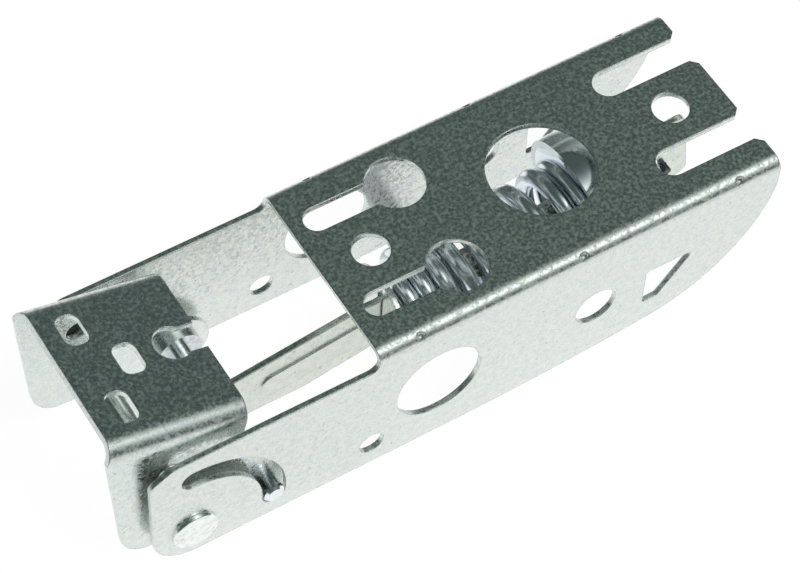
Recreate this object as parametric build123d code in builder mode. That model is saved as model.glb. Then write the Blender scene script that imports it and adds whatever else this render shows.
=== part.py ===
from build123d import *
from math import cos, radians, sin
import os

os.makedirs("parts", exist_ok=True)

# Sheet metal and running fits, in millimetres
sheet = 1.0
bend_inner = 1.5
bend_outer = bend_inner + sheet
running_play = 0.05
sliding_play = 0.3

# Channel housing: overall size and side outline
width = 37.5
height = 30.7
housing_left = -57.05
housing_right = 62.7
web_left = -15.4
arm_drop = 3.7
arm_top = height - arm_drop
arm_corner_run = 4.0
arm_corner_drop = 2.3
arm_corner_radius = 2.0
heel_radius = 7.8
web_root_radius = 2.0
belly_start = 1.3
belly_end_x = 39.3
belly_end_z = 2.4
nose_z = 24.8

# Openings in the web of the housing
round_hole_x = 26.9
round_hole_radius = 9.4
screw_hole_radius = 3.25
rear_screw_x = 52.9
front_screw_x = -6.05
side_slot_y = 9.6
keyhole_x = 4.4
keyhole_radius = 5.2
keyhole_slot_width = 4.8
keyhole_tip_x = -12.9
open_slot_width = 5.5
open_slot_tip_x = 43.9
open_slot_flare = 1.25
pinch_radius = 0.85
pinch_depth = 0.6
pinch_spots = (-7.6, 23.6, 54.6)

# Openings in the two side flanges of the housing
side_hole_x = -3.65
side_hole_z = 14.8
side_hole_radius = 8.1
mid_hole_x = 27.15
mid_hole_z = 14.0
mid_hole_radius = 4.0
small_hole_x = -16.3
small_hole_z = 5.8
small_hole_radius = 2.35
kite_corners = ((37.2, 16.7), (46.9, 16.5), (40.4, 7.8), (37.3, 7.7))
kite_corner_radius = 0.7

# Pivot rivet and the link pin that travels in the curved side slots
pivot_x = -49.6
pivot_z = 6.7
pivot_radius = 2.25
rivet_head_radius = 4.1
rivet_head_height = 0.8
rivet_head_round = 0.4
link_arm = 14.8
link_rest_angle = -5.0
link_swing = 94.0
link_radius = 1.9
link_end_chamfer = 0.4
link_proud = 0.5
spacer_radius = 4.2
spacer_length = 2.2

# Swinging bracket, measured from the pivot along and across its own top face
bracket_tilt = 14.66
bracket_gap = 1.75
bracket_bend = 3.5
bracket_top = 24.6
bracket_front = -18.4
bracket_back = 6.15
bracket_shoulder = (-19.1, 21.3)
bracket_heel = (-11.4, -2.4)
bracket_sole = (-8.2, -5.7)
bracket_heel_radius = 5.0
bracket_sole_radius = 5.0
bracket_waist = 14.0
lobe_radius = 6.4
lobe_ahead = 0.6
lobe_drop = 1.1
lobe_sole = -1.2
bracket_slot_length = 6.1
bracket_slot_width = 4.2
bracket_slot_corner = 1.6
front_slots_u = -13.0
front_slots_y = 8.2
middle_slot_u = -7.2
notch_y = 0.4
notch_bulb_u = 0.95
notch_bulb_radius = 3.3
notch_width = 5.1
bracket_side_hole = (-6.3, 14.1)
bracket_side_hole_radius = 2.1

# Pull bar, spring and their end stops, measured along the bar from the link pin
bar_rise = 8.3
bar_thickness = 1.1
bar_eye_radius = 4.4
bar_crest = 5.6
bar_keel_front = 5.7
bar_keel_mid = 7.45
bar_keel_rear = 6.9
bar_wide_start = 3.0
bar_wide_mid = 15.5
bar_wide_end = 28.6
bar_neck_start = 31.0
bar_neck_half = 5.0
bar_length = 93.3
bar_head_length = 8.1
bar_head_half = 8.3
bar_head_round = 1.8
bead_start = 7.5
bead_end = 29.0
bead_width = 5.7
bead_level = -1.05
bead_height = 0.35
seat_x = -3.7
seat_sheet = 1.0
seat_radius = 9.2
seat_slot_room = 1.0
strip_half = 4.0
strip_length = 18.7
strip_play = 0.35
seat_foot_length = 4.4
seat_foot_height = 5.0
spring_radius = 9.2
wire_radius = 1.6
spring_turns = 8.5
spring_start = 34.0
cup_depth = 3.3
cup_crown = 11.85
cup_radius = 12.5
cup_shoulder = 7.2
cup_sheet = 1.2
cup_lip = 1.6
hub_radius = 6.4
cross_pin_radius = 0.8
cross_pin_half = 2.0
cross_pin_back = 4.9
cross_pin_drop = 3.2

# Values that follow from the sizes above
half_width = width / 2
inner_half = half_width - sheet
web_under = height - sheet
bracket_half = inner_half - bracket_gap
bracket_inner = bracket_half - sheet
link_slot_half = link_radius + sliding_play
link_x = pivot_x + link_arm * cos(radians(link_rest_angle))
link_z = pivot_z + link_arm * sin(radians(link_rest_angle))
along = (cos(radians(bracket_tilt)), 0, -sin(radians(bracket_tilt)))
across = (sin(radians(bracket_tilt)), 0, cos(radians(bracket_tilt)))
bar_way = (cos(radians(bar_rise)), 0, sin(radians(bar_rise)))
link_u = link_arm * cos(radians(link_rest_angle + bracket_tilt))
link_v = link_arm * sin(radians(link_rest_angle + bracket_tilt))
lobe_u = link_u + lobe_ahead
lobe_v = link_v - lobe_drop
bracket_plane = Plane(origin=(pivot_x, 0, pivot_z), x_dir=along, z_dir=(0, -1, 0))
bar_head_start = bar_length - bar_head_length
cross_pin_at = (bar_length - cross_pin_back, -cross_pin_drop)
hub_end = bar_head_start - running_play
cup_seat = hub_end - cup_crown
cup_rim = cup_seat - cup_depth
bar_plane = Plane(origin=(link_x, 0, link_z), x_dir=bar_way, z_dir=(0, -1, 0))
along_axis = Axis((pivot_x, 0, pivot_z), along)
across_axis = Axis((pivot_x, 0, pivot_z), across)
link_path = CenterArc((pivot_x, pivot_z), link_arm, link_rest_angle, link_swing)

# Housing: one sheet folded into a channel, its two flanges running on as arms at the front
with BuildPart() as housing:
    with BuildSketch(Plane.XZ):
        with BuildLine():
            TangentArc((housing_left, heel_radius), (housing_left + heel_radius, 0), tangent=(0, -1))
            Line((housing_left + heel_radius, 0), (belly_start, 0))
            belly = TangentArc((belly_start, 0), (belly_end_x, belly_end_z), tangent=(1, 0))
            TangentArc((belly_end_x, belly_end_z), (housing_right, nose_z), tangent=belly % 1)
            Polyline(
                (housing_right, nose_z),
                (housing_right, height),
                (web_left, height),
                (web_left, arm_top + web_root_radius),
            )
            TangentArc(
                (web_left, arm_top + web_root_radius),
                (web_left - web_root_radius, arm_top),
                tangent=(0, -1),
            )
            Polyline(
                (web_left - web_root_radius, arm_top),
                (housing_left + arm_corner_run, arm_top),
                (housing_left, arm_top - arm_corner_drop),
                (housing_left, heel_radius),
            )
        make_face()
    extrude(amount=half_width, both=True)
    arm_corner_spots = (
        (housing_left, 0, arm_top - arm_corner_drop),
        (housing_left + arm_corner_run, 0, arm_top),
    )
    cross_edges = housing.edges().filter_by(Axis.Y)
    fillet([cross_edges.sort_by_distance(spot)[0] for spot in arm_corner_spots], arm_corner_radius)
    fillet(housing.edges().filter_by(Axis.X).group_by(Axis.Z)[-1], bend_outer)

    # Inside of the channel
    with BuildSketch(Plane.YZ.offset(housing_left)) as hollow:
        with Locations((0, web_under / 2)):
            Rectangle(2 * inner_half, web_under)
        fillet(hollow.vertices().group_by(Axis.Y)[-1], bend_inner)
    extrude(amount=housing_right - housing_left, mode=Mode.SUBTRACT)

    # Screw holes, keyholes and open slots punched in the web
    with BuildSketch(Plane.XY.offset(height)):
        with Locations((round_hole_x, 0)):
            Circle(round_hole_radius)
        with Locations((rear_screw_x, 0), (front_screw_x, 0)):
            Circle(screw_hole_radius)
        with Locations((keyhole_x, side_slot_y), (keyhole_x, -side_slot_y)):
            Circle(keyhole_radius)
        key_tip_centre = keyhole_tip_x + keyhole_slot_width / 2
        with Locations((key_tip_centre, side_slot_y), (key_tip_centre, -side_slot_y)):
            Circle(keyhole_slot_width / 2)
        key_run = keyhole_x - key_tip_centre
        with Locations(
            (key_tip_centre + key_run / 2, side_slot_y),
            (key_tip_centre + key_run / 2, -side_slot_y),
        ):
            Rectangle(key_run, keyhole_slot_width)
        open_tip_centre = open_slot_tip_x + open_slot_width / 2
        open_run = housing_right - open_tip_centre
        with Locations((open_tip_centre, side_slot_y), (open_tip_centre, -side_slot_y)):
            Circle(open_slot_width / 2)
        with Locations(
            (open_tip_centre + open_run / 2, side_slot_y),
            (open_tip_centre + open_run / 2, -side_slot_y),
        ):
            Rectangle(open_run, open_slot_width)
        with Locations((housing_right, side_slot_y), (housing_right, -side_slot_y)):
            Polygon(
                (0, open_slot_width / 2 + open_slot_flare),
                (-open_slot_flare, open_slot_width / 2),
                (-open_slot_flare, -open_slot_width / 2),
                (0, -open_slot_width / 2 - open_slot_flare),
                align=None,
            )
    extrude(amount=-bend_outer, mode=Mode.SUBTRACT)

    # Openings punched through both side flanges
    with BuildSketch(Plane.XZ):
        with Locations((side_hole_x, side_hole_z)):
            Circle(side_hole_radius)
        with Locations((mid_hole_x, mid_hole_z)):
            Circle(mid_hole_radius)
        with Locations((small_hole_x, small_hole_z)):
            Circle(small_hole_radius)
        with Locations((pivot_x, pivot_z)):
            Circle(pivot_radius)
        SlotArc(link_path, 2 * link_slot_half)
    extrude(amount=half_width, both=True, mode=Mode.SUBTRACT)
    with BuildSketch(Plane.XZ) as kite:
        Polygon(*kite_corners, align=None)
        fillet(kite.vertices(), kite_corner_radius)
    extrude(amount=half_width, both=True, mode=Mode.SUBTRACT)

    # Small pinch marks along the two bends
    pinch_y = half_width - bend_outer + bend_outer * cos(radians(45))
    pinch_z = height - bend_outer + bend_outer * sin(radians(45))
    pinch_rise = (pinch_radius - pinch_depth) * sin(radians(45))
    with Locations(
        *[(x, side * (pinch_y + pinch_rise), pinch_z + pinch_rise) for x in pinch_spots for side in (-1, 1)]
    ):
        Sphere(pinch_radius, mode=Mode.SUBTRACT)

# Bracket: one sheet folded into an inverted channel that swings between the arms
with BuildPart() as bracket:
    with BuildSketch(bracket_plane) as flank:
        Polygon(
            (bracket_front, bracket_top),
            bracket_shoulder,
            bracket_heel,
            bracket_sole,
            (lobe_u, lobe_v - lobe_radius),
            (lobe_u, lobe_v + lobe_radius),
            (bracket_back, bracket_waist),
            (bracket_back, bracket_top),
            align=None,
        )
        with Locations((lobe_u, lobe_v)):
            Circle(lobe_radius)
        Polygon(
            bracket_sole,
            (lobe_u + lobe_radius, lobe_sole),
            (lobe_u + lobe_radius, lobe_v - 2 * lobe_radius),
            (bracket_sole[0], lobe_v - 2 * lobe_radius),
            align=None,
            mode=Mode.SUBTRACT,
        )
        fillet(flank.vertices().sort_by_distance(bracket_heel)[0], bracket_heel_radius)
        fillet(flank.vertices().sort_by_distance(bracket_sole)[0], bracket_sole_radius)
    extrude(amount=bracket_half, both=True)
    fillet(bracket.edges().filter_by(along_axis).group_by(across_axis)[-1], bracket_bend)

    # Inside of the inverted channel
    bracket_reach = bracket_shoulder[0]
    with BuildSketch(
        Plane(origin=bracket_plane.from_local_coords((bracket_reach, 0, 0)), x_dir=(0, 1, 0), z_dir=along)
    ) as inside:
        inside_height = bracket_top - sheet + lobe_radius
        with Locations((0, bracket_top - sheet - inside_height / 2)):
            Rectangle(2 * bracket_inner, inside_height)
        fillet(inside.vertices().group_by(Axis.Y)[-1], bracket_bend - sheet)
    extrude(amount=lobe_u + lobe_radius - bracket_reach, mode=Mode.SUBTRACT)

    # Three fixing slots and the open notch in the top face
    with BuildSketch(
        Plane(origin=bracket_plane.from_local_coords((0, bracket_top, 0)), x_dir=along, z_dir=across)
    ):
        with Locations(
            (front_slots_u, front_slots_y), (front_slots_u, -front_slots_y), (middle_slot_u, 0)
        ):
            RectangleRounded(bracket_slot_width, bracket_slot_length, bracket_slot_corner)
        with Locations((notch_bulb_u, notch_y)):
            Circle(notch_bulb_radius)
        with Locations(((notch_bulb_u + bracket_back) / 2, notch_y)):
            Rectangle(bracket_back - notch_bulb_u, notch_width)
    extrude(amount=-bracket_bend, mode=Mode.SUBTRACT)

    # Pivot, link pin and small side holes through both flanks
    with BuildSketch(bracket_plane):
        Circle(pivot_radius + running_play)
        with Locations((link_u, link_v)):
            Circle(link_radius)
        with Locations(bracket_side_hole):
            Circle(bracket_side_hole_radius)
    extrude(amount=bracket_half, both=True, mode=Mode.SUBTRACT)

# Pivot rivet: a rod across the arms with a flat head on each side
with BuildPart() as pivot_rivet:
    with BuildSketch(Plane.XZ):
        with Locations((pivot_x, pivot_z)):
            Circle(pivot_radius)
    extrude(amount=half_width, both=True)
    with BuildSketch(Plane.XZ.offset(half_width)):
        with Locations((pivot_x, pivot_z)):
            Circle(rivet_head_radius)
    extrude(amount=rivet_head_height)
    fillet(pivot_rivet.faces().sort_by(Axis.Y)[0].edges(), rivet_head_round)
    with BuildSketch(Plane.XZ.offset(-half_width)):
        with Locations((pivot_x, pivot_z)):
            Circle(rivet_head_radius)
    extrude(amount=-rivet_head_height)
    fillet(pivot_rivet.faces().sort_by(Axis.Y)[-1].edges(), rivet_head_round)

# Link pin: held in the bracket, its ends riding in the curved slots of the arms
with BuildPart() as link_pin:
    with BuildSketch(Plane.XZ):
        with Locations((link_x, link_z)):
            Circle(link_radius)
    extrude(amount=half_width + link_proud, both=True)
    chamfer(link_pin.faces().filter_by(Axis.Y).edges(), link_end_chamfer)

# Spacer rings on the link pin, one against the inside of each bracket flank
with BuildPart() as spacer_near:
    with BuildSketch(Plane.XZ.offset(bracket_inner)):
        with Locations((link_x, link_z)):
            Circle(spacer_radius)
            Circle(link_radius, mode=Mode.SUBTRACT)
    extrude(amount=-spacer_length)

with BuildPart() as spacer_far:
    with BuildSketch(Plane.XZ.offset(-bracket_inner)):
        with Locations((link_x, link_z)):
            Circle(spacer_radius)
            Circle(link_radius, mode=Mode.SUBTRACT)
    extrude(amount=spacer_length)

# Pull bar: an upright strip from the link pin through the spring to a wide head, with a pressed bead
with BuildPart() as pull_bar:
    with BuildSketch(bar_plane):
        Circle(bar_eye_radius)
        Polygon(
            (0, bar_eye_radius),
            (0, -bar_eye_radius),
            (bar_wide_start, -bar_keel_front),
            (bar_wide_mid, -bar_keel_mid),
            (bar_wide_end, -bar_keel_rear),
            (bar_neck_start, -bar_neck_half),
            (bar_head_start, -bar_neck_half),
            (bar_head_start, bar_neck_half),
            (bar_neck_start, bar_neck_half),
            (bar_wide_end, bar_crest),
            (bar_wide_start, bar_crest),
            align=None,
        )
        with Locations((bar_length - bar_head_length / 2, 0)):
            RectangleRounded(bar_head_length, 2 * bar_head_half, bar_head_round)
        Circle(link_radius + running_play, mode=Mode.SUBTRACT)
        with Locations(cross_pin_at):
            Circle(cross_pin_radius, mode=Mode.SUBTRACT)
    extrude(amount=bar_thickness / 2, both=True)
    bead_middle = (bead_start + bead_end) / 2
    bead_length = bead_end - bead_start
    with BuildSketch(bar_plane.offset(bar_thickness / 2)):
        with Locations((bead_middle, bead_level)):
            SlotOverall(bead_length, bead_width)
    extrude(amount=bead_height, taper=35)
    with BuildSketch(bar_plane.offset(-bar_thickness / 2)):
        with Locations((bead_middle, bead_level)):
            SlotOverall(bead_length - bead_height, bead_width - bead_height)
    extrude(amount=bead_height, taper=35, mode=Mode.SUBTRACT)

# Spring seat: a round forked plate across the bar, on a strip that runs back under the spring
with BuildPart() as spring_seat:
    seat_middle = link_z + (seat_x - link_x) * bar_way[2] / bar_way[0]
    slot_bottom = seat_middle - bar_neck_half - seat_slot_room
    slot_top = seat_middle + seat_radius
    spring_bottom = link_z + (spring_start + 2 * wire_radius) * bar_way[2] - spring_radius * bar_way[0]
    strip_top = spring_bottom - strip_play
    strip_bottom = strip_top - seat_sheet
    with BuildSketch(Plane.YZ.offset(seat_x)):
        with Locations((0, seat_middle)):
            Circle(seat_radius)
        with Locations((0, (strip_bottom + slot_bottom) / 2)):
            Rectangle(2 * strip_half, slot_bottom - strip_bottom)
        with Locations((0, (slot_bottom + slot_top) / 2)):
            Rectangle(bar_thickness + 2 * sliding_play, slot_top - slot_bottom, mode=Mode.SUBTRACT)
    extrude(amount=seat_sheet)

    # Strip under the spring, with a cross piece and two feet that are fixed to the flanges
    strip_end = seat_x + strip_length
    strip_z = strip_bottom + seat_sheet / 2
    foot_x = strip_end - seat_foot_length / 2
    with Locations((seat_x + strip_length / 2, 0, strip_z)):
        Box(strip_length, 2 * strip_half, seat_sheet)
    with Locations((foot_x, 0, strip_z)):
        Box(seat_foot_length, 2 * inner_half, seat_sheet)
    foot_z = strip_bottom + seat_foot_height / 2
    with Locations(*[(foot_x, side * (inner_half - seat_sheet / 2), foot_z) for side in (-1, 1)]):
        Box(seat_foot_length, seat_sheet, seat_foot_height)

# Coil spring: round wire wound about the bar between the seat and the cup
with BuildPart() as spring:
    coil_length = cup_seat - spring_start - 2 * wire_radius
    with BuildLine() as coil:
        Helix(
            pitch=coil_length / spring_turns,
            height=coil_length,
            radius=spring_radius - wire_radius,
            center=bar_plane.from_local_coords((spring_start + wire_radius, 0, 0)),
            direction=bar_way,
        )
    with BuildSketch(Plane(origin=coil.line @ 0, z_dir=coil.line % 0)):
        Circle(wire_radius)
    sweep(is_frenet=True)

# Spring cup: a domed stop on the bar that the spring pushes against the head of the bar
with BuildPart() as spring_cup:
    with BuildSketch(bar_plane):
        with BuildLine():
            Line((cup_rim, cup_radius), (cup_rim + cup_lip, cup_radius))
            TangentArc((cup_rim + cup_lip, cup_radius), (hub_end - cup_sheet, hub_radius), tangent=(1, 0))
            Polyline(
                (hub_end - cup_sheet, hub_radius),
                (hub_end, hub_radius),
                (hub_end, 0),
                (hub_end - cup_sheet, 0),
                (hub_end - cup_sheet, hub_radius - cup_sheet),
                (cup_seat, cup_shoulder),
                (cup_seat, spring_radius + sliding_play),
                (cup_rim, cup_radius - cup_sheet),
                (cup_rim, cup_radius),
            )
        make_face()
    revolve(axis=Axis((link_x, 0, link_z), bar_way))
    with BuildSketch(
        Plane(origin=bar_plane.from_local_coords((cup_rim, 0, 0)), x_dir=(0, 1, 0), z_dir=bar_way)
    ):
        Rectangle(bar_thickness, 2 * bar_neck_half)
    extrude(amount=bar_length - cup_rim, mode=Mode.SUBTRACT)

# Cross pin: a short stop pin pressed through the head of the bar behind the cup
with BuildPart() as cross_pin:
    with BuildSketch(bar_plane):
        with Locations(cross_pin_at):
            Circle(cross_pin_radius)
    extrude(amount=cross_pin_half, both=True)

housing.part.label = "housing"
export_step(housing.part, "parts/housing.step")
bracket.part.label = "bracket"
export_step(bracket.part, "parts/bracket.step")
pivot_rivet.part.label = "pivot_rivet"
export_step(pivot_rivet.part, "parts/pivot_rivet.step")
link_pin.part.label = "link_pin"
export_step(link_pin.part, "parts/link_pin.step")
spacer_near.part.label = "spacer_near"
export_step(spacer_near.part, "parts/spacer_near.step")
spacer_far.part.label = "spacer_far"
export_step(spacer_far.part, "parts/spacer_far.step")
pull_bar.part.label = "pull_bar"
export_step(pull_bar.part, "parts/pull_bar.step")
spring_seat.part.label = "spring_seat"
export_step(spring_seat.part, "parts/spring_seat.step")
spring.part.label = "spring"
export_step(spring.part, "parts/spring.step")
spring_cup.part.label = "spring_cup"
export_step(spring_cup.part, "parts/spring_cup.step")
cross_pin.part.label = "cross_pin"
export_step(cross_pin.part, "parts/cross_pin.step")
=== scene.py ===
import bpy
import math
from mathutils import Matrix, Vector


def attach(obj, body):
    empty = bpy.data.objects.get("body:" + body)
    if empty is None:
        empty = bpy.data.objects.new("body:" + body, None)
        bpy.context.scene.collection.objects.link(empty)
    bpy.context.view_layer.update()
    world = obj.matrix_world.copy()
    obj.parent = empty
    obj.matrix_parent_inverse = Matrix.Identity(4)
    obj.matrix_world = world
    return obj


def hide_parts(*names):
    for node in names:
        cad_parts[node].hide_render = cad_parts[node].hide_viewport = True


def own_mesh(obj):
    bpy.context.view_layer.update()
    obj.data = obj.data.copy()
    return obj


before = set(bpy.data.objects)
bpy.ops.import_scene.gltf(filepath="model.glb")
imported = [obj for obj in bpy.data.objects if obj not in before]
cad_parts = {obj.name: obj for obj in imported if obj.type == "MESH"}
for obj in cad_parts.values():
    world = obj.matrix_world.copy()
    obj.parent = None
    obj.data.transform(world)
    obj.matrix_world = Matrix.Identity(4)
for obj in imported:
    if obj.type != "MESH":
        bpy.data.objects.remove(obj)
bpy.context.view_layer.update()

# Housing: one blank of hot-dip galvanised steel sheet, pierced and folded into a channel.
# The zinc coat has a fine spangle, duller and brighter crystals side by side, with cloudy
# patches, faint rolling marks along the strip and a few small pin specks.
def zinc_sheet(name, tint, patch, grain, roughness, relief):
    finish = bpy.data.materials.new(name)
    finish.use_nodes = True
    nodes = finish.node_tree.nodes
    links = finish.node_tree.links
    metal = nodes["Principled BSDF"]
    metal.inputs["Metallic"].default_value = 1.0
    place = nodes.new("ShaderNodeTexCoord")

    def noise(scale, detail, stretch=(1.0, 1.0, 1.0)):
        turned = nodes.new("ShaderNodeMapping")
        turned.inputs["Scale"].default_value = stretch
        links.new(place.outputs["Object"], turned.inputs["Vector"])
        texture = nodes.new("ShaderNodeTexNoise")
        texture.inputs["Scale"].default_value = scale
        texture.inputs["Detail"].default_value = detail
        texture.inputs["Roughness"].default_value = 0.6
        links.new(turned.outputs["Vector"], texture.inputs["Vector"])
        return texture.outputs["Fac"]

    def spread(value, low, high, to_low, to_high):
        scaled = nodes.new("ShaderNodeMapRange")
        scaled.inputs["From Min"].default_value = low
        scaled.inputs["From Max"].default_value = high
        scaled.inputs["To Min"].default_value = to_low
        scaled.inputs["To Max"].default_value = to_high
        links.new(value, scaled.inputs["Value"])
        return scaled.outputs["Result"]

    def shaded(colour, value):
        product = nodes.new("ShaderNodeMix")
        product.data_type = "RGBA"
        product.blend_type = "MULTIPLY"
        product.inputs["Factor"].default_value = 1.0
        links.new(colour, product.inputs["A"])
        links.new(value, product.inputs["B"])
        return product.outputs["Result"]

    spangle = noise(1.0 / grain, 3.0)
    cloud = noise(0.45 / grain, 3.0)
    rolling = noise(1.2 / grain, 2.0, (0.03, 1.0, 1.0))
    pin_marks = noise(0.8 / grain, 0.0)

    patchy = nodes.new("ShaderNodeMix")
    patchy.data_type = "RGBA"
    links.new(spread(cloud, 0.40, 0.60, 0.0, 1.0), patchy.inputs["Factor"])
    patchy.inputs["A"].default_value = (*tint, 1.0)
    patchy.inputs["B"].default_value = (*patch, 1.0)
    crystals = shaded(patchy.outputs["Result"], spread(spangle, 0.36, 0.64, 0.88, 1.06))
    specked = shaded(crystals, spread(pin_marks, 0.74, 0.82, 1.0, 0.75))
    links.new(specked, metal.inputs["Base Color"])

    links.new(spread(spangle, 0.38, 0.66, *roughness), metal.inputs["Roughness"])

    height = nodes.new("ShaderNodeMix")
    height.data_type = "FLOAT"
    height.inputs["Factor"].default_value = 0.25
    links.new(spangle, height.inputs["A"])
    links.new(rolling, height.inputs["B"])
    edge = nodes.new("ShaderNodeBevel")
    edge.samples = 6
    edge.inputs["Radius"].default_value = 0.0004
    bump = nodes.new("ShaderNodeBump")
    bump.inputs["Strength"].default_value = relief
    bump.inputs["Distance"].default_value = grain * 0.5
    links.new(height.outputs["Result"], bump.inputs["Height"])
    links.new(edge.outputs["Normal"], bump.inputs["Normal"])
    links.new(bump.outputs["Normal"], metal.inputs["Normal"])
    return finish


def dress(node, finish):
    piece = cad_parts[node]
    piece.data.materials.clear()
    piece.data.materials.append(finish)


housing_zinc = zinc_sheet(
    "housing_zinc", (0.82, 0.86, 0.81), (0.75, 0.79, 0.79), 0.0006, (0.18, 0.58), 0.03
)
dress("housing", housing_zinc)

# Pivot rivet: a turned steel rivet through both arms, its two low heads peened flat.
# It is zinc plated, with a satin skin from the peening tool.
rivet_zinc = zinc_sheet("rivet_zinc", (0.88, 0.92, 0.88), (0.84, 0.88, 0.86), 0.0009, (0.08, 0.20), 0.04)
dress("pivot_rivet", rivet_zinc)

# Spring seat: a round forked plate of galvanised sheet that the spring's front end bears on.
# The pull bar slides through the fork, and a strip under the spring ties it to the flanges.
seat_zinc = zinc_sheet("seat_zinc", (0.84, 0.88, 0.84), (0.79, 0.83, 0.83), 0.0006, (0.20, 0.48), 0.12)
dress("spring_seat", seat_zinc)

# Door bracket: a second folded sheet, turning on the rivet, with slots for the door's screws.
# Its zinc is a little darker than the housing's, and more even.
bracket_zinc = zinc_sheet(
    "bracket_zinc", (0.80, 0.85, 0.80), (0.73, 0.78, 0.79), 0.0006, (0.14, 0.54), 0.03
)
dress("bracket", bracket_zinc)

# Link pin: a ground steel pin, bright zinc plated, pressed through the bracket's two lobes.
# Two washers of the same steel keep the bar in the middle.
def bright_zinc(name, light, dark, grain, roughness):
    finish = bpy.data.materials.new(name)
    finish.use_nodes = True
    nodes = finish.node_tree.nodes
    links = finish.node_tree.links
    metal = nodes["Principled BSDF"]
    metal.inputs["Metallic"].default_value = 1.0
    place = nodes.new("ShaderNodeTexCoord")
    cloud = nodes.new("ShaderNodeTexNoise")
    cloud.inputs["Scale"].default_value = 1.0 / grain
    cloud.inputs["Detail"].default_value = 4.0
    links.new(place.outputs["Object"], cloud.inputs["Vector"])
    tone = nodes.new("ShaderNodeValToRGB")
    tone.color_ramp.elements[0].position = 0.35
    tone.color_ramp.elements[0].color = (*dark, 1.0)
    tone.color_ramp.elements[1].position = 0.65
    tone.color_ramp.elements[1].color = (*light, 1.0)
    links.new(cloud.outputs["Fac"], tone.inputs["Fac"])
    links.new(tone.outputs["Color"], metal.inputs["Base Color"])
    gloss = nodes.new("ShaderNodeMapRange")
    gloss.inputs["To Min"].default_value = roughness[0]
    gloss.inputs["To Max"].default_value = roughness[1]
    links.new(cloud.outputs["Fac"], gloss.inputs["Value"])
    links.new(gloss.outputs["Result"], metal.inputs["Roughness"])
    bump = nodes.new("ShaderNodeBump")
    bump.inputs["Strength"].default_value = 0.1
    bump.inputs["Distance"].default_value = grain * 0.02
    links.new(cloud.outputs["Fac"], bump.inputs["Height"])
    links.new(bump.outputs["Normal"], metal.inputs["Normal"])
    return finish


link_pin_plate = bright_zinc(
    "link_pin_plate", (0.84, 0.88, 0.90), (0.76, 0.80, 0.83), 0.0012, (0.10, 0.18)
)
dress("link_pin", link_pin_plate)
# The washers are painted darker than the pin. This is painted shade for where they sit, between the
# bracket's lobes and the bar.
spacer_plate_painted_shade = bright_zinc("spacer_plate_painted_shade", (0.72, 0.76, 0.76), (0.52, 0.56, 0.56), 0.0010, (0.18, 0.3))
dress("spacer_near", spacer_plate_painted_shade)
dress("spacer_far", spacer_plate_painted_shade)

# Pull bar: a flat bar blanked from galvanised strip, with a pressed bead along its side.
# Its front eye turns on the link pin, and its wide tail holds the cup.
bar_zinc = zinc_sheet("bar_zinc", (0.75, 0.80, 0.73), (0.69, 0.73, 0.68), 0.0007, (0.20, 0.46), 0.08)
dress("pull_bar", bar_zinc)

# Spring: cold-coiled round wire, bright zinc plated, held between the seat and the cup.
# Its end turns are wound closer than the middle ones.
wire_radius = 0.0016
coil_radius = 0.0092 - wire_radius
link_pin_at = Vector((-0.034856, 0.0, 0.005410))
bar_rise = math.radians(8.3)
crest_stations = (0.0356, 0.0388, 0.0422, 0.0457, 0.0500, 0.0555, 0.06115, 0.0665, 0.0698, 0.0715)
coil_turns = 8.5
wire_points = 409
wire_sides = 24

coil_tree = bpy.data.node_groups.new("wound_wire", "GeometryNodeTree")
coil_tree.interface.new_socket("Geometry", in_out="INPUT", socket_type="NodeSocketGeometry")
coil_inputs = {}
for label in ("Coil radius", "Wire radius", "Turns", "First station", "Last station"):
    coil_inputs[label] = coil_tree.interface.new_socket(
        label, in_out="INPUT", socket_type="NodeSocketFloat"
    )
coil_inputs["Finish"] = coil_tree.interface.new_socket(
    "Finish", in_out="INPUT", socket_type="NodeSocketMaterial"
)
coil_tree.interface.new_socket("Geometry", in_out="OUTPUT", socket_type="NodeSocketGeometry")
nodes = coil_tree.nodes
links = coil_tree.links
given = nodes.new("NodeGroupInput")
made = nodes.new("NodeGroupOutput")

line = nodes.new("GeometryNodeCurvePrimitiveLine")
points = nodes.new("GeometryNodeResampleCurve")
points.inputs["Count"].default_value = wire_points
links.new(line.outputs["Curve"], points.inputs["Curve"])
share = nodes.new("GeometryNodeSplineParameter")
winding = nodes.new("ShaderNodeFloatCurve")
curve = winding.mapping.curves[0]
wound_length = crest_stations[-1] - crest_stations[0]
curve_points = [
    (min(turn, coil_turns) / coil_turns, (station - crest_stations[0]) / wound_length)
    for turn, station in enumerate(crest_stations)
]
curve.points[0].location = curve_points[0]
curve.points[1].location = curve_points[-1]
for point in curve_points[1:-1]:
    curve.points.new(*point)
winding.mapping.update()
links.new(share.outputs["Factor"], winding.inputs["Value"])
station = nodes.new("ShaderNodeMapRange")
links.new(winding.outputs["Value"], station.inputs["Value"])
links.new(given.outputs["First station"], station.inputs["To Min"])
links.new(given.outputs["Last station"], station.inputs["To Max"])
turn = nodes.new("ShaderNodeMath")
turn.operation = "MULTIPLY"
links.new(share.outputs["Factor"], turn.inputs[0])
links.new(given.outputs["Turns"], turn.inputs[1])
angle = nodes.new("ShaderNodeMath")
angle.operation = "MULTIPLY"
links.new(turn.outputs["Value"], angle.inputs[0])
angle.inputs[1].default_value = math.tau


def reach(operation):
    ratio = nodes.new("ShaderNodeMath")
    ratio.operation = operation
    links.new(angle.outputs["Value"], ratio.inputs[0])
    scaled = nodes.new("ShaderNodeMath")
    scaled.operation = "MULTIPLY"
    links.new(ratio.outputs["Value"], scaled.inputs[0])
    links.new(given.outputs["Coil radius"], scaled.inputs[1])
    return scaled


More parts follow.
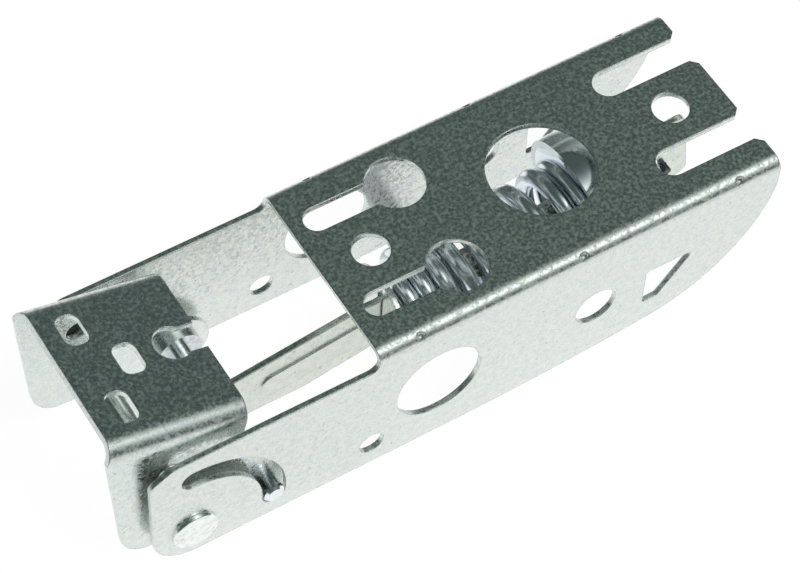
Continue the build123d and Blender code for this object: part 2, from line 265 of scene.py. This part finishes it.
side = nodes.new("ShaderNodeMath")
side.operation = "MULTIPLY"
links.new(reach("SINE").outputs["Value"], side.inputs[0])
side.inputs[1].default_value = -1.0
spot = nodes.new("ShaderNodeCombineXYZ")
links.new(station.outputs["Result"], spot.inputs["X"])
links.new(side.outputs["Value"], spot.inputs["Y"])
links.new(reach("COSINE").outputs["Value"], spot.inputs["Z"])
bend = nodes.new("GeometryNodeSetPosition")
links.new(points.outputs["Curve"], bend.inputs["Geometry"])
links.new(spot.outputs["Vector"], bend.inputs["Position"])
section = nodes.new("GeometryNodeCurvePrimitiveCircle")
section.inputs["Resolution"].default_value = wire_sides
links.new(given.outputs["Wire radius"], section.inputs["Radius"])
sweep = nodes.new("GeometryNodeCurveToMesh")
sweep.inputs["Fill Caps"].default_value = True
links.new(bend.outputs["Geometry"], sweep.inputs["Curve"])
links.new(section.outputs["Curve"], sweep.inputs["Profile Curve"])
on_bar = nodes.new("GeometryNodeTransform")
on_bar.inputs["Translation"].default_value = link_pin_at
on_bar.inputs["Rotation"].default_value = (0.0, -bar_rise, 0.0)
links.new(sweep.outputs["Mesh"], on_bar.inputs["Geometry"])
smooth = nodes.new("GeometryNodeSetShadeSmooth")
links.new(on_bar.outputs["Geometry"], smooth.inputs["Geometry"])
whole = nodes.new("GeometryNodeRealizeInstances")
links.new(smooth.outputs["Geometry"], whole.inputs["Geometry"])
coat = nodes.new("GeometryNodeSetMaterial")
links.new(whole.outputs["Geometry"], coat.inputs["Geometry"])
links.new(given.outputs["Finish"], coat.inputs["Material"])
links.new(coat.outputs["Geometry"], made.inputs["Geometry"])

spring_plate = bright_zinc("spring_plate", (0.82, 0.87, 0.91), (0.72, 0.78, 0.83), 0.0016, (0.15, 0.24))
wound = bpy.data.objects.new("wound_wire", bpy.data.meshes.new("wound_wire"))
bpy.context.scene.collection.objects.link(wound)
winder = wound.modifiers.new("winder", "NODES")
winder.node_group = coil_tree
for label, value in (
    ("Coil radius", coil_radius),
    ("Wire radius", wire_radius),
    ("Turns", coil_turns),
    ("First station", crest_stations[0]),
    ("Last station", crest_stations[-1]),
    ("Finish", spring_plate),
):
    winder[coil_inputs[label].identifier] = value
depsgraph = bpy.context.evaluated_depsgraph_get()
coil_mesh = bpy.data.meshes.new_from_object(wound.evaluated_get(depsgraph))
wound.modifiers.clear()
bpy.data.objects.remove(wound)
spring_coil = bpy.data.objects.new("spring_coil", coil_mesh)
bpy.context.scene.collection.objects.link(spring_coil)
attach(spring_coil, "pull_bar")
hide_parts("spring")
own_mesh(spring_coil)

# Spring cup: a deep-drawn steel dish, bright zinc plated, that takes the spring's far end.
# Its dome narrows to a hub, which sits against the wide tail of the pull bar.
cup_plate = bright_zinc("cup_plate", (0.80, 0.85, 0.88), (0.70, 0.76, 0.80), 0.0030, (0.10, 0.20))
dress("spring_cup", cup_plate)

# Cross pin: a short plain steel pin pressed through the tail of the bar; its near-black colour is
# painted shade.
# It stands out on both sides and keeps the tail from turning in its guide.
dress("cross_pin", bright_zinc("cross_pin_painted_shade", (0.16, 0.16, 0.17), (0.07, 0.07, 0.08), 0.0008, (0.35, 0.5)))

# Table: a plain white sheet of paper, which keeps a faint shadow of the hinge.
# It glows plain white to the eye; in the metal its glow is painted light that fades to grey the further
# off it lies.
near_white = 0.93
far_white = 0.33
floor_mesh = bpy.data.meshes.new("floor")
floor_mesh.from_pydata([(-2, -2, 0), (2, -2, 0), (2, 2, 0), (-2, 2, 0)], [], [(0, 1, 2, 3)])
floor = bpy.data.objects.new("floor", floor_mesh)
bpy.context.scene.collection.objects.link(floor)
paper = bpy.data.materials.new("white_paper")
paper.use_nodes = True
nodes = paper.node_tree.nodes
links = paper.node_tree.links
nodes["Principled BSDF"].inputs["Base Color"].default_value = (0.9, 0.9, 0.89, 1.0)
nodes["Principled BSDF"].inputs["Roughness"].default_value = 0.9
place = nodes.new("ShaderNodeTexCoord")
distance = nodes.new("ShaderNodeVectorMath")
distance.operation = "LENGTH"
links.new(place.outputs["Object"], distance.inputs[0])
# Painted light: the glow seen in the metal falls from near_white to far_white with distance from the
# hinge.
far_glow_fade = nodes.new("ShaderNodeMapRange")
far_glow_fade.inputs["From Min"].default_value = 0.10
far_glow_fade.inputs["From Max"].default_value = 0.45
far_glow_fade.inputs["To Min"].default_value = near_white
far_glow_fade.inputs["To Max"].default_value = far_white
links.new(distance.outputs["Value"], far_glow_fade.inputs["Value"])
ray = nodes.new("ShaderNodeLightPath")
level = nodes.new("ShaderNodeMix")
level.data_type = "FLOAT"
links.new(ray.outputs["Is Camera Ray"], level.inputs["Factor"])
links.new(far_glow_fade.outputs["Result"], level.inputs["A"])
level.inputs["B"].default_value = near_white
glow = nodes.new("ShaderNodeEmission")
glow.inputs["Color"].default_value = (1.0, 1.0, 0.995, 1.0)
links.new(level.outputs["Result"], glow.inputs["Strength"])
shadowed = nodes.new("ShaderNodeBsdfDiffuse")
shadowed.inputs["Color"].default_value = (0.30, 0.30, 0.30, 1.0)
white_paper = nodes.new("ShaderNodeAddShader")
links.new(glow.outputs["Emission"], white_paper.inputs[0])
links.new(shadowed.outputs["BSDF"], white_paper.inputs[1])
seen = nodes.new("ShaderNodeMath")
seen.operation = "MAXIMUM"
links.new(ray.outputs["Is Camera Ray"], seen.inputs[0])
links.new(ray.outputs["Is Glossy Ray"], seen.inputs[1])
seen_through = nodes.new("ShaderNodeMath")
seen_through.operation = "MAXIMUM"
links.new(seen.outputs["Value"], seen_through.inputs[0])
links.new(ray.outputs["Is Transmission Ray"], seen_through.inputs[1])
mixed = nodes.new("ShaderNodeMixShader")
links.new(seen_through.outputs["Value"], mixed.inputs["Fac"])
links.new(nodes["Principled BSDF"].outputs["BSDF"], mixed.inputs[1])
links.new(white_paper.outputs["Shader"], mixed.inputs[2])
links.new(mixed.outputs["Shader"], nodes["Material Output"].inputs["Surface"])
floor_mesh.materials.append(paper)

# Room: dim and slightly green, a little lighter low down, with one soft window high at the front.
# The eye sees plain white past the edge of the table.
room = bpy.data.worlds.new("studio")
bpy.context.scene.world = room
room.use_nodes = True
nodes = room.node_tree.nodes
links = room.node_tree.links
dim_room = nodes["Background"]
facing = nodes.new("ShaderNodeTexCoord")
height = nodes.new("ShaderNodeSeparateXYZ")
links.new(facing.outputs["Generated"], height.inputs["Vector"])
shade = nodes.new("ShaderNodeValToRGB")
shade.color_ramp.elements[0].position = 0.0
shade.color_ramp.elements[0].color = (0.14, 0.16, 0.155, 1.0)
shade.color_ramp.elements[1].position = 0.5
shade.color_ramp.elements[1].color = (0.072, 0.099, 0.091, 1.0)
links.new(height.outputs["Z"], shade.inputs["Fac"])
links.new(shade.outputs["Color"], dim_room.inputs["Color"])
window_way = (0.345, -0.458, 0.819)
window_spread = 0.24
window_strength = 2.2
toward = nodes.new("ShaderNodeVectorMath")
toward.operation = "DOT_PRODUCT"
links.new(facing.outputs["Generated"], toward.inputs[0])
toward.inputs[1].default_value = window_way
off_centre = nodes.new("ShaderNodeMapRange")
off_centre.clamp = False
off_centre.inputs["From Min"].default_value = 1.0 - window_spread**2
off_centre.inputs["From Max"].default_value = 1.0
off_centre.inputs["To Min"].default_value = -1.0
off_centre.inputs["To Max"].default_value = 0.0
links.new(toward.outputs["Value"], off_centre.inputs["Value"])
fade = nodes.new("ShaderNodeMath")
fade.operation = "EXPONENT"
links.new(off_centre.outputs["Result"], fade.inputs[0])
window_level = nodes.new("ShaderNodeMath")
window_level.operation = "MULTIPLY"
links.new(fade.outputs["Value"], window_level.inputs[0])
window_level.inputs[1].default_value = window_strength
window = nodes.new("ShaderNodeBackground")
window.inputs["Color"].default_value = (0.97, 1.0, 0.98, 1.0)
links.new(window_level.outputs["Value"], window.inputs["Strength"])
lit_room = nodes.new("ShaderNodeAddShader")
links.new(dim_room.outputs["Background"], lit_room.inputs[0])
links.new(window.outputs["Background"], lit_room.inputs[1])
white = nodes.new("ShaderNodeBackground")
white.inputs["Color"].default_value = (1.0, 1.0, 0.99, 1.0)
ray = nodes.new("ShaderNodeLightPath")
mixed = nodes.new("ShaderNodeMixShader")
links.new(ray.outputs["Is Camera Ray"], mixed.inputs["Fac"])
links.new(lit_room.outputs["Shader"], mixed.inputs[1])
links.new(white.outputs["Background"], mixed.inputs[2])
links.new(mixed.outputs["Shader"], nodes["World Output"].inputs["Surface"])

# Camera: a long lens, well above the hinge at its front left.
# The small shift only sets the hinge in the frame.
lens = bpy.data.cameras.new("photo_camera")
lens.sensor_width = 36.0
lens.lens = 127.992
lens.shift_x = 0.02884
lens.shift_y = -0.00465
lens.clip_start = 0.01
camera = bpy.data.objects.new("photo_camera", lens)
camera.location = (-0.153955, -0.222806, 0.405345)
camera.rotation_euler = (0.6076313, -0.0327591, -0.5437591)
bpy.context.scene.collection.objects.link(camera)
bpy.context.scene.camera = camera
bpy.context.scene.view_settings.view_transform = "Standard"
